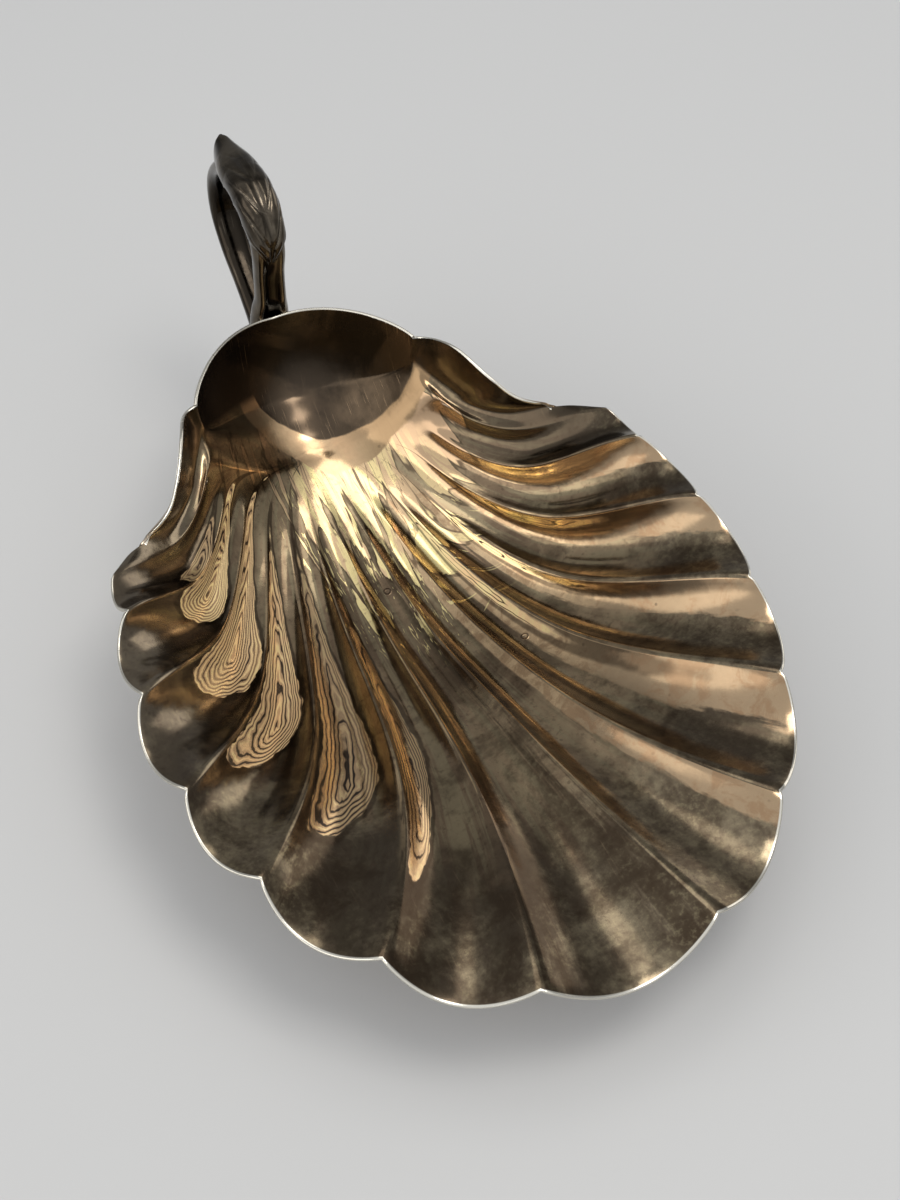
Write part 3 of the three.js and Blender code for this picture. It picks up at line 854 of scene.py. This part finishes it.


# The bowl's colours, in layers from the film of tarnish through painted light and shade to the rim
bowlLook = {
    "base": rgb(0.35, 0.25, 0.155),
    "dark": rgb(0.185, 0.13, 0.083),
    "far": rgb(0.062, 0.048, 0.034),
    "haze": rgb(0.145, 0.115, 0.083),
    "smoke": rgb(0.25, 0.205, 0.15),
    "olive": rgb(0.35, 0.295, 0.18),
    "tan": rgb(0.78, 0.55, 0.32),
    "rose": rgb(0.41, 0.29, 0.18),
    "soft": rgb(0.44, 0.3, 0.185),
    "sill": rgb(0.78, 0.5, 0.28),
    "cream": rgb(0.97, 0.79, 0.38),
    "gold": rgb(0.93, 0.63, 0.33),
    "bronze": rgb(0.56, 0.37, 0.2),
    "rust": rgb(0.3, 0.17, 0.09),
    "umber": rgb(0.045, 0.03, 0.019),
    "dim": rgb(0.27, 0.18, 0.1),
    "wall": rgb(0.06, 0.045, 0.033),
    "wallTop": rgb(0.03, 0.023, 0.016),
    "rim": rgb(0.62, 0.59, 0.52),
    "under": rgb(0.36, 0.32, 0.27),
    "tarnishScale": 17.0,
    "blotchScale": 34.0,
    "wanderScale": 60.0,
    "stainScale": 95.0,
    "raggedScale": 110.0,
    "grainScale": 120.0,
    "gritScale": 420.0,
    "lanes": (5.0, 2.6, 40.0),
    "laneScale": 1.3,
    "broadScale": 0.6,
    "startRun": 22.0,
    "spearScale": 1.1,
    "fineScale": 2.0,
    "fleckScale": 4.2,
    "filmStreaks": 0.5,
    "outerDarkReflection": (0.66, 0.86),
    "outerShare": 0.88,
    "mottling": 0.3,
    "blotches": (0.3, 0.6),
    "besideRidge": (0.62, 0.85),
    "besideShare": 0.75,
    "crestLines": 0.6,
    "rightEar": (0.6, 0.85),
    "leftSide": 0.8,
    "lightGrit": 0.3,
    "darkGrit": 0.35,
    "bandReach": (0.7, 0.3),
    "bandShare": 0.85,
    "bandMottle": 0.5,
    "stains": 0.55,
    "streakReach": (2.2, 0.35),
    "streakGaps": 0.7,
    "streakOutline": 0.6,
    "flecks": 0.9,
    "grainRings": 8.0,
    "ringBends": (0.2, 0.75, 0.16, 1.6),
    "raggedReach": (0.4, 0.3),
    "patchOutline": 0.7,
    "patchMetal": 0.35,
    "sillReach": 0.9,
    "sillShare": 0.95,
    "sillMottle": 0.3,
    "wellReach": 0.35,
    "wallClouds": 0.3,
    "spots": 0.5,
    "strayScratches": 0.3,
    "scratches": 0.4,
    "blisters": [(0.0017, 0.0206, 0.0184), (0.0374, -0.022, 0.0212), (0.031, 0.012, 0.02)],
    "blisterSize": 0.0017,
    "blisterShare": 0.6,
    "roughness": (0.11, 0.16),
    "rougher": (0.06, 0.12, 0.08, 0.06),
    "waveBump": (0.3, 0.0006),
    "blisterBump": (0.4, 0.0003),
    "scratchBump": (0.1, 0.00005),
}


# The bowl's fields, its tarnish, and streaks that run along the flutes and down their starts
def bowlFields(w):
    look = bowlLook
    at = SimpleNamespace(place=w.add("TexCoord").outputs["Object"])
    at.x, at.y = w.add("SeparateXYZ", {0: at.place}).outputs[:2]
    for name in ("flute", "across", "turn", "hood", "along", "rim", "inner", "glow", "band",
                 "patch", "level", "deep", "sill", "bright", "drift"):
        setattr(at, name, w.attribute(name))
    tarnish = w.group("tarnish", Vector=at.place, Scale=look["tarnishScale"])
    at.cloud, at.mottle, at.spots = tarnish["Cloud"], tarnish["Mottle"], tarnish["Spots"]
    around, down, aside = look["lanes"]
    at.lane = w.vector(w.times(at.turn, around), w.times(at.along, down), w.times(at.x, aside))
    at.streak = w.ramp(w.noise(at.lane, look["laneScale"], 5, 0.65, 0.3), 0.3, 0.7)
    at.startLane = w.vector(at.drift, w.times(at.y, look["startRun"]), 0.0)
    spear = w.noise(at.startLane, look["spearScale"], 2.5, 0.5, 0.4)
    at.spear = w.ramp(spear, 0.3, 0.7)
    fine = w.noise(at.startLane, look["fineScale"], 2.5, 0.55, 0.4)
    at.fineStreak = w.ramp(fine, 0.34, 0.66)
    at.wander = w.noise(at.place, look["wanderScale"], 5, 0.6)
    at.grit = w.noise(at.place, look["gritScale"], 4, 0.7)
    return at


# The film of tarnish, with painted dark reflections, painted shade and painted highlights over it
def tarnishAndPaintedLight(w, at):
    look = bowlLook
    colour = w.blend(w.ramp(at.cloud, 0.1, 0.9), look["dark"], look["base"])
    colour = w.lay(colour, look["olive"], w.ramp(at.streak, 0.35, 0.8), look["filmStreaks"])
    # Painted dark reflection: it darkens toward the rim
    cloudy = w.ramp(w.math("ADD", at.cloud, w.times(at.mottle, 0.5)), 0.5, 1.4)
    outer = w.ramp(w.uneven(at.flute, at.wander, 0.35), *look["outerDarkReflection"])
    outerColour = w.blend(cloudy, look["far"], look["haze"])
    colour = w.lay(colour, outerColour, outer, look["outerShare"])
    colour = w.lay(colour, look["olive"], at.mottle, w.ramp(at.cloud, 0.3, 0.8), look["mottling"])
    blotch = w.ramp(w.noise(at.place, look["blotchScale"], 6, 0.68, 0.4), 0.46, 0.6)
    share = w.ramp(at.flute, 0.2, 0.7, *look["blotches"])
    colour = w.lay(colour, look["umber"], blotch, share)
    # Painted shade beside each ridge, and thin painted highlights along the crest
    colour = w.lay(colour, look["umber"], w.ramp(at.across, *look["besideRidge"]),
                   w.ramp(at.flute, 0.02, 0.2), w.fall(at.x, 0.03, 0.06),
                   w.ramp(at.streak, 0.1, 0.6), look["besideShare"])
    crest = w.math("MAXIMUM", w.ramp(at.across, 0.93, 0.98), w.fall(at.across, 0.02, 0.06))
    colour = w.lay(colour, look["tan"], crest, w.ramp(at.streak, 0.45, 0.7),
                   w.hump(at.flute, 0.1, 0.3, 0.6, 0.9), look["crestLines"])
    # Painted dark reflection by the right ear, and a grey painted sheen on the left
    colour = w.lay(colour, look["far"], w.ramp(at.turn, 5, 6), w.ramp(at.x, 0, 0.02),
                   w.ramp(at.flute, 0.3, 0.6, *look["rightEar"]))
    smoky = w.blend(at.cloud, look["haze"], look["smoke"])
    left = w.ramp(at.x, -0.04, -0.01, look["leftSide"], 0)
    colour = w.lay(colour, smoky, w.ramp(at.turn, 2.6, 5), left, w.ramp(at.flute, 0.2, 0.5))
    # Fine grit
    lit = w.ramp(at.grit, 0.48, 0.7, 0, look["lightGrit"])
    colour = w.lay(colour, look["olive"], lit, at.cloud)
    return w.lay(colour, look["umber"], w.ramp(at.grit, 0.32, 0.46, look["darkGrit"], 0))


# Painted reflections in bands beside the ridges on the right, with rust stains in them
def paintedReflectionBands(w, at, colour):
    look = bowlLook
    wanderReach, streakReach = look["bandReach"]
    edge = w.uneven(w.uneven(at.band, at.wander, wanderReach), at.streak, streakReach)
    rubbedAndSheen = w.blend(w.ramp(at.flute, 0.55, 0.75), look["tan"], look["rose"])
    rubbedAndSheen = w.lay(rubbedAndSheen, look["base"], w.hump(at.flute, 0.6, 0.72, 0.8, 0.9))
    rubbedAndSheen = w.lay(rubbedAndSheen, look["base"], at.mottle, look["bandMottle"])
    stain = w.ramp(w.noise(at.place, look["stainScale"], 6, 0.72, 0.5), 0.47, 0.6)
    rubbedAndSheen = w.lay(rubbedAndSheen, look["rust"], stain, look["stains"])
    return w.lay(colour, rubbedAndSheen, w.ramp(edge, 0.42, 0.62), look["bandShare"])


# Painted highlights down the starts of the flutes, with painted glints where the streaks run out
def brightStreaks(w, at, colour):
    look = bowlLook
    spearReach, fineReach = look["streakReach"]
    edge = w.uneven(w.uneven(at.glow, at.spear, spearReach), at.fineStreak, fineReach)
    highlightColour = w.blend(at.bright, look["soft"], look["tan"])
    highlightColour = w.lay(highlightColour, look["cream"], w.ramp(at.fineStreak, 0.35, 0.6), at.bright)
    highlightColour = w.lay(highlightColour, look["dark"], w.hump(at.spear, 0.44, 0.48, 0.5, 0.54), look["streakGaps"])
    highlightColour = w.lay(highlightColour, look["soft"], w.ramp(at.grit, 0.34, 0.46, 0.5, 0))
    outline = w.hump(edge, 0.1, 0.3, 0.4, 0.5)
    colour = w.lay(colour, look["umber"], outline, look["streakOutline"])
    colour = w.lay(colour, highlightColour, w.ramp(edge, 0.42, 0.56))
    fleck = w.ramp(w.noise(at.startLane, look["fleckScale"], 2, 0.5, 1.5), 0.62, 0.66)
    return w.lay(colour, look["cream"], fleck, w.hump(at.glow, -1.3, -0.6, 0.2, 0.8),
                 w.ramp(at.bright, 0.1, 0.6), look["flecks"])


# Painted reflections: patches in rings like the grain of wood, and where they lie
def ringedPatches(w, at, colour):
    look = bowlLook
    acrossBend, broadBend, fineBend, waveBend = look["ringBends"]
    raggedReach, broadReach = look["raggedReach"]
    broad = w.noise(at.lane, look["broadScale"], 2, 0.5)
    bent = w.math("ADD", at.patch, w.times(at.across, acrossBend))
    bent = w.uneven(bent, broad, broadBend)
    bent = w.uneven(bent, w.noise(at.place, look["grainScale"], 1, 0.5), fineBend)
    wave = w.math("SINE", w.times(bent, look["grainRings"] * 2 * math.pi))
    wave = w.uneven(wave, broad, waveBend)
    light = w.math("MAXIMUM", w.ramp(wave, 0.2, 1), w.ramp(at.x, -0.02, 0.01))
    pale = w.math("MAXIMUM", w.ramp(at.fineStreak, 0.3, 0.9, 0, 0.6),
                  w.ramp(at.level, 0.92, 1, 0, 0.8))
    grain = w.blend(light, look["bronze"], w.blend(pale, look["gold"], look["cream"]))
    grain = w.lay(grain, look["base"], w.ramp(at.level, 0.2, 0.9, 0.6, 0))
    grain = w.lay(grain, look["umber"], w.fall(wave, -1, -0.5))
    # Their edges are ragged, less so on the right
    side = w.ramp(at.x, -0.01, 0.02, 1, 0.3)
    ragged = w.noise(at.place, look["raggedScale"], 2, 0.5)
    edge = w.uneven(at.patch, ragged, w.times(side, raggedReach))
    edge = w.uneven(edge, broad, w.times(side, broadReach))
    outline = w.hump(edge, -0.2, -0.1, 0, 0.04)
    colour = w.lay(colour, look["umber"], outline, look["patchOutline"])
    inside = w.ramp(edge, 0.03, 0.06)
    return w.lay(colour, grain, inside), inside


# The hood: a painted reflection on the sill in front of the well, darker to the right, painted
# shade in the well and on the wall, darkest under its brim, and where wiping has scuffed the well's
# front
def hoodColour(w, at, colour):
    look = bowlLook
    edge = w.uneven(at.sill, at.wander, look["sillReach"])
    sill = w.blend(w.ramp(at.wander, 0.3, 0.7), look["sill"], look["tan"])
    sill = w.lay(sill, look["base"], at.mottle, look["sillMottle"])
    sill = w.lay(sill, look["dim"], w.ramp(at.x, 0.005, 0.028))
    colour = w.lay(colour, sill, w.ramp(edge, 0, 0.12), look["sillShare"])
    wall = w.blend(w.ramp(at.along, 0.3, 0.75), look["wall"], look["wallTop"])
    wall = w.lay(wall, look["wallTop"], w.ramp(at.x, 0, 0.03, 0, 0.85))
    wall = w.lay(wall, look["dark"], w.ramp(at.cloud, 0.5, 0.9), look["wallClouds"])
    edge = w.uneven(at.deep, at.wander, look["wellReach"])
    side = w.times(w.ramp(at.along, 0.36, 0.46), w.ramp(at.hood, 0.3, 0.9))
    colour = w.lay(colour, wall, w.math("MAXIMUM", w.ramp(edge, 0, 0.1), side))
    return colour, w.times(w.ramp(edge, 0, 0.15), w.fall(edge, 0.5, 1.6))


# Rings round small blisters in the plate
def blisterRings(w, at):
    size = bowlLook["blisterSize"]
    rings = None
    for spot in bowlLook["blisters"]:
        away = w.add("VectorMath", {0: at.place, 1: spot}, operation="DISTANCE").outputs["Value"]
        ring = w.hump(away, size * 0.4, size * 0.7, size * 0.8, size)
        rings = ring if rings is None else w.math("MAXIMUM", rings, ring)
    return rings


def bowlMaterial():
    look = bowlLook
    made, w, shader = newMaterial("bowl_plate")
    at = bowlFields(w)
    colour = paintedReflectionBands(w, at, tarnishAndPaintedLight(w, at))
    colour, patched = ringedPatches(w, at, brightStreaks(w, at, colour))
    colour, scuffs = hoodColour(w, at, colour)
    colour = w.lay(colour, look["umber"], at.spots, look["spots"])
    where = w.math("ADD", w.ramp(at.wander, 0.45, 0.6, 0, look["strayScratches"]), scuffs)
    lines = w.group("scratches", Vector=at.place, Where=where)["Lines"]
    colour = w.lay(colour, look["rose"], lines, look["scratches"])
    colour = w.blend(at.inner, w.blend(at.cloud, look["base"], look["under"]), colour)
    colour = w.lay(colour, look["rim"], w.ramp(at.rim, 0.86, 0.96))
    blisters = blisterRings(w, at)
    colour = w.lay(colour, look["umber"], blisters, look["blisterShare"])
    w.feed(shader.inputs["Base Color"], colour)
    # The patches on the left scatter light more than the rest
    matt = w.times(patched, w.fall(at.x, -0.03, 0), w.ramp(at.level, 0, 1))
    w.feed(shader.inputs["Metallic"], w.ramp(matt, 0, 1, 1, look["patchMetal"]))
    rough = w.ramp(at.flute, 0.6, 0.85, *look["roughness"])
    hood = w.ramp(at.hood, 0.3, 0.9)
    for part, share in zip((at.mottle, matt, hood, lines), look["rougher"]):
        rough = w.math("ADD", rough, w.times(part, share))
    w.feed(shader.inputs["Roughness"], rough)
    waves = w.group("waves", Vector=at.place)["Height"]
    normal = w.bump(waves, *look["waveBump"])
    normal = w.bump(blisters, *look["blisterBump"], normal)
    w.feed(shader.inputs["Normal"], w.bump(lines, *look["scratchBump"], normal))
    return made


bowl.data.materials.append(bowlMaterial())

# The castings' finish, darker than the bowl's
castLook = {
    "dark": rgb(0.026, 0.021, 0.016),
    "film": rgb(0.115, 0.096, 0.072),
    "bright": rgb(0.42, 0.36, 0.28),
    "rubbedAndSheen": rgb(0.7, 0.66, 0.58),
    "tarnishScale": 55.0,
    "edge": (0.5, 0.56),
    "edgeShares": (0.6, 0.2),
    "scratchWhere": 0.7,
    "scratches": 0.2,
    "roughness": (0.11, 0.22),
    "scratchRough": 0.1,
    "waveBump": (0.4, 0.0006),
}


# A field of the piece's mesh mixes a tint in from its low value up
def castMaterial(name, fieldName, low, tint, share):
    look = castLook
    made, w, shader = newMaterial(name)
    shader.inputs["Metallic"].default_value = 1
    place = w.add("TexCoord").outputs["Object"]
    tarnish = w.group("tarnish", Vector=place, Scale=look["tarnishScale"])
    colour = w.blend(tarnish["Cloud"], look["dark"], look["film"])
    pointed = w.ramp(w.add("NewGeometry").outputs["Pointiness"], *look["edge"])
    field = w.attribute(fieldName)
    shares = w.ramp(field, 0.2, 0.6, *look["edgeShares"])
    colour = w.lay(colour, look["bright"], pointed, shares)
    colour = w.lay(colour, look[tint], w.ramp(field, low, 0.9), share)
    lines = w.group("scratches", Vector=place, Where=look["scratchWhere"])["Lines"]
    colour = w.lay(colour, look["bright"], lines, look["scratches"])
    w.feed(shader.inputs["Base Color"], colour)
    rough = w.ramp(tarnish["Mottle"], 0, 1, *look["roughness"])
    rough = w.math("ADD", rough, w.times(lines, look["scratchRough"]))
    w.feed(shader.inputs["Roughness"], rough)
    waves = w.group("waves", Vector=place)["Height"]
    w.feed(shader.inputs["Normal"], w.bump(waves, *look["waveBump"]))
    return made


# The hollow field darkens the tarnish in the channel and leaf creases, and paints shade on the
# handle's side facing the gap
handlePlate = castMaterial("handle_plate", "hollow", 0.2, "dark", 0.95)
footPlate = castMaterial("foot_plate", "rubbedAndSheen", 0.1, "rubbedAndSheen", 0.7)
for plate, pieces in ((handlePlate, (loop, foliage)), (footPlate, feet.values())):
    for piece in pieces:
        piece.data.materials.clear()
        piece.data.materials.append(plate)
print("materials made")

# Floor, light and camera. A box's row is its name, place, size and brightness.
stageLook = {
    "floor": rgb(0.56, 0.56, 0.56),
    "floorHalf": 6,
    "floorRoughness": 0.8,
    "lamp": (1.0, 0.96, 0.9),
    "lampTarget": (0, 0, 0.05),
    "boxes": [
        ("overhead", (0.17, 0.3, 1.2), (0.45, 0.45), 1.5),
        ("right", (2.1, 0.55, 0.6), (1.6, 0.8), 1.4),
        ("key", (0.19, -0.29, 1.23), (0.45, 0.45), 6.0),
        ("left", (-1.1, -0.13, 0.65), (1.3, 0.7), 1.2),
    ],
    "sky": rgb(0.96, 0.98, 1.0),
    "skyToward": (-0.35, -0.45, 0.82),
    "skyRange": (0.2, 0.8),
    "skyLevels": (0.4, 1.0),
    "lens": 54.09,
    "sensor": 36,
    "cameraPlace": (-0.17196, -0.37509, 0.53637),
    "cameraTurns": (39.5756, -0.8578, -25.7676),
}


def softbox(name, spot, size, radiance):
    data = bpy.data.lights.new(name, "AREA")
    data.shape = "RECTANGLE"
    data.size, data.size_y = size
    data.energy = radiance * math.pi * size[0] * size[1]
    data.color = stageLook["lamp"]
    lamp = putInScene(name, data)
    lamp.location = spot
    aim = Vector(stageLook["lampTarget"]) - Vector(spot)
    lamp.rotation_euler = aim.to_track_quat("-Z", "Y").to_euler()


def paleFloor():
    mesh = bpy.data.meshes.new("floor")
    far = stageLook["floorHalf"]
    corners = [(-far, -far, 0), (far, -far, 0), (far, far, 0), (-far, far, 0)]
    mesh.from_pydata(corners, [], [[0, 1, 2, 3]])
    material, w, shader = newMaterial("floor")
    shader.inputs["Base Color"].default_value = stageLook["floor"]
    shader.inputs["Roughness"].default_value = stageLook["floorRoughness"]
    mesh.materials.append(material)
    return putInScene("floor", mesh)


# Soft light from all round, brighter from above the dish's left and front
def softSky():
    world = bpy.data.worlds.new("studio")
    world.use_nodes = True
    w = Wiring(world.node_tree)
    background = world.node_tree.nodes["Background"]
    background.inputs["Color"].default_value = stageLook["sky"]
    sides = {0: w.add("TexCoord").outputs["Generated"], 1: stageLook["skyToward"]}
    toward = w.add("VectorMath", sides, operation="DOT_PRODUCT").outputs["Value"]
    level = w.ramp(toward, *stageLook["skyRange"], *stageLook["skyLevels"])
    w.feed(background.inputs["Strength"], level)
    return world


for row in stageLook["boxes"]:
    softbox(*row)
paleFloor()
bpy.context.scene.world = softSky()

cameraData = bpy.data.cameras.new("camera")
cameraData.lens = stageLook["lens"]
cameraData.sensor_width = stageLook["sensor"]
cameraData.clip_start = 0.01
camera = putInScene("camera", cameraData)
camera.location = stageLook["cameraPlace"]
camera.rotation_euler = [math.radians(turn) for turn in stageLook["cameraTurns"]]
bpy.context.scene.camera = camera
bpy.context.scene.view_settings.view_transform = "Standard"
print("stage made")
